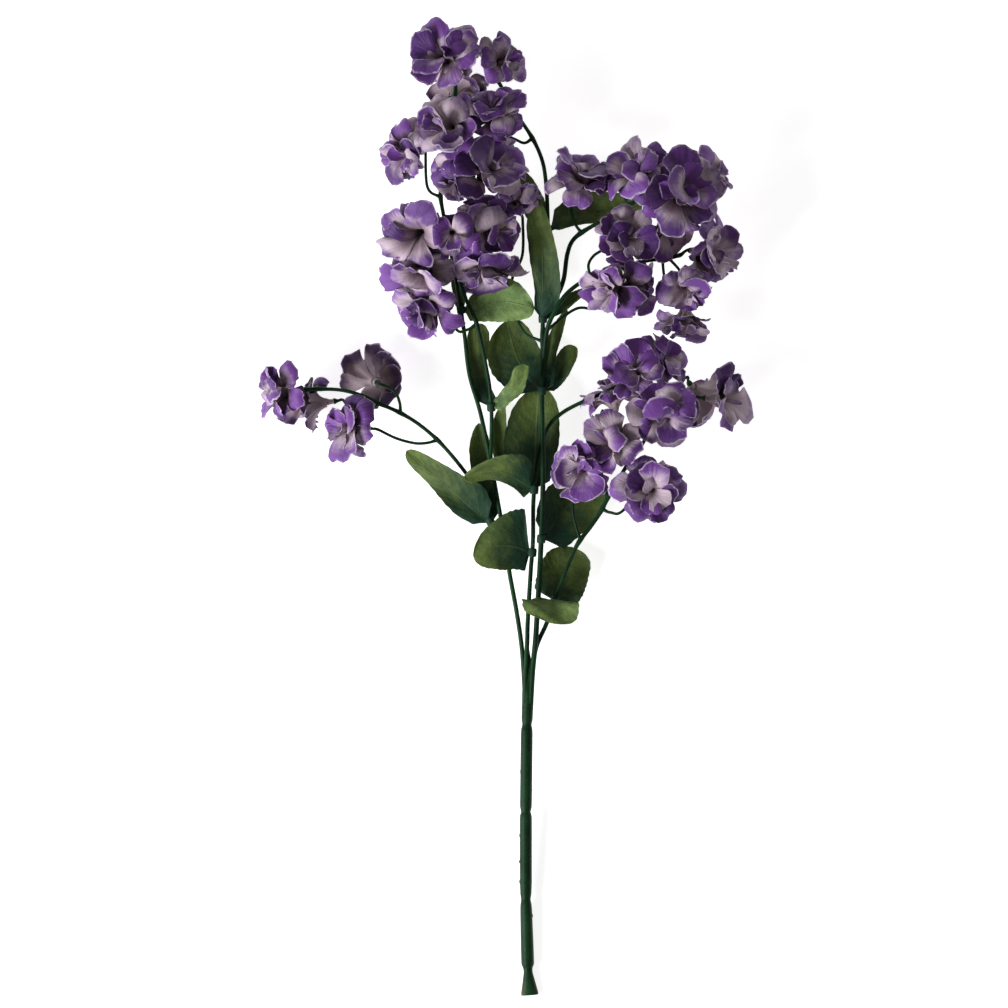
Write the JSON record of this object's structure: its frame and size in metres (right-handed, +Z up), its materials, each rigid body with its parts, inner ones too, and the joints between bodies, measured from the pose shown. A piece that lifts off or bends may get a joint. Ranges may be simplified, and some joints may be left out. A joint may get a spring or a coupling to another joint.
{
  "type": "artificial flower stem",
  "caption": "Artificial double gypsophila stem lying flat: a jointed plastic stem, thin branching twigs, ruffled violet fabric blooms and broad green leaves.",
  "frame": {"origin": "middle of the bounding box's base, on the table that the stem lies on", "axes": "+Y from the nipped end of the stem to the top bloom, +X to the right of it as seen from above, +Z up from the table"},
  "size_m": [0.2995, 0.589, 0.0711],
  "materials": {
    "stem": "dark bluish green moulded plastic, slightly glossy",
    "leaf": "printed green leaf cloth, satin",
    "petal": "violet petal cloth fading to pale grey pink, matte"
  },
  "bodies": {
    "root": {"back_branch": "stem", "bloom_left_01": "petal", "bloom_left_02": "petal", "bloom_left_03": "petal", "bloom_left_04": "petal", "bloom_left_05": "petal", "bloom_low_01": "petal", "bloom_low_02": "petal", "bloom_low_03": "petal", "bloom_low_04": "petal", "bloom_low_05": "petal", "bloom_low_06": "petal", "bloom_low_07": "petal", "bloom_low_08": "petal", "bloom_low_09": "petal", "bloom_right_01": "petal", "bloom_right_02": "petal", "bloom_right_03": "petal", "bloom_right_04": "petal", "bloom_right_05": "petal", "bloom_right_06": "petal", "bloom_right_07": "petal", "bloom_right_08": "petal", "bloom_right_09": "petal", "bloom_right_10": "petal", "bloom_right_11": "petal", "bloom_upper_01": "petal", "bloom_upper_02": "petal", "bloom_upper_03": "petal", "bloom_upper_04": "petal", "bloom_upper_05": "petal", "bloom_upper_06": "petal", "bloom_upper_07": "petal", "bloom_upper_08": "petal", "bloom_upper_09": "petal", "bloom_upper_10": "petal", "bloom_upper_11": "petal", "bloom_upper_12": "petal", "bloom_upper_13": "petal", "bloom_upper_14": "petal", "bloom_upper_15": "petal", "jointed_stem": "stem", "leaves_back": "leaf", "leaves_back_low": "leaf", "leaves_high": "leaf", "leaves_inner": "leaf", "leaves_left_high": "leaf", "leaves_left_low": "leaf", "leaves_middle": "leaf", "leaves_middle_low": "leaf", "leaves_right_low": "leaf", "leaves_top": "leaf", "left_branch": "stem", "middle_branch": "stem", "right_branch": "stem"}
  },
  "joints": []
}
